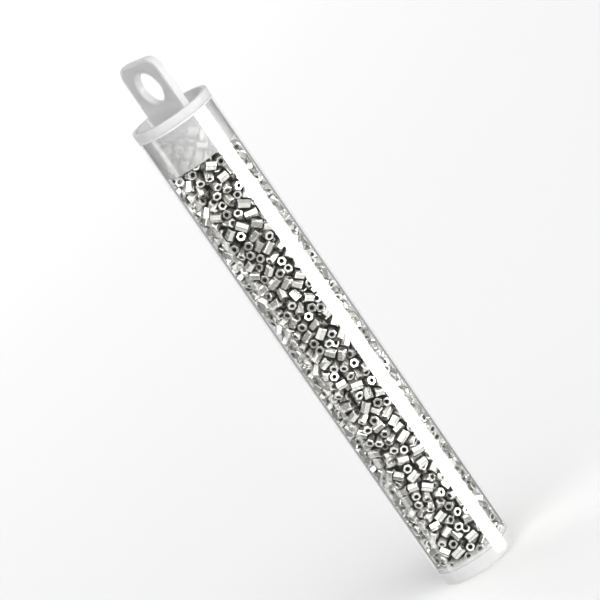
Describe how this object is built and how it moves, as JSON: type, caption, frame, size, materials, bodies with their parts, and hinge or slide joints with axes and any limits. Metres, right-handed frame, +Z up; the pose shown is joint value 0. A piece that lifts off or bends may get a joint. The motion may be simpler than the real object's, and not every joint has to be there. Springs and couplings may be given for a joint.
{
  "type": "sample vial",
  "caption": "Clear round tube vial with a thick solid base, a frosted push-in cap with a pierced hang tab, and a fill of silver hex-cut beads.",
  "frame": {"origin": "centre of the underside of the solid base, on the tube's axis", "axes": "+Z up along the tube to the cap; the hang tab is wide along X and thin along Y"},
  "size_m": [0.016, 0.016, 0.1143],
  "materials": {
    "clear_plastic": "clear, polished",
    "frosted_plastic": "translucent, satin",
    "silvered_bead": "opaque silver plating, bright"
  },
  "bodies": {
    "vial": {"tube": "clear_plastic", "beads_01": "silvered_bead", "beads_02": "silvered_bead", "beads_03": "silvered_bead", "beads_04": "silvered_bead", "beads_05": "silvered_bead", "beads_06": "silvered_bead", "beads_07": "silvered_bead", "beads_08": "silvered_bead", "beads_09": "silvered_bead", "beads_10": "silvered_bead", "beads_11": "silvered_bead", "beads_12": "silvered_bead"},
    "cap": {"cap": "frosted_plastic"}
  },
  "joints": [
    {"name": "cap_pull", "type": "slide", "parent": "vial", "child": "cap", "axis": [0, 0, 1], "range_m": [0, 0.014]}
  ]
}
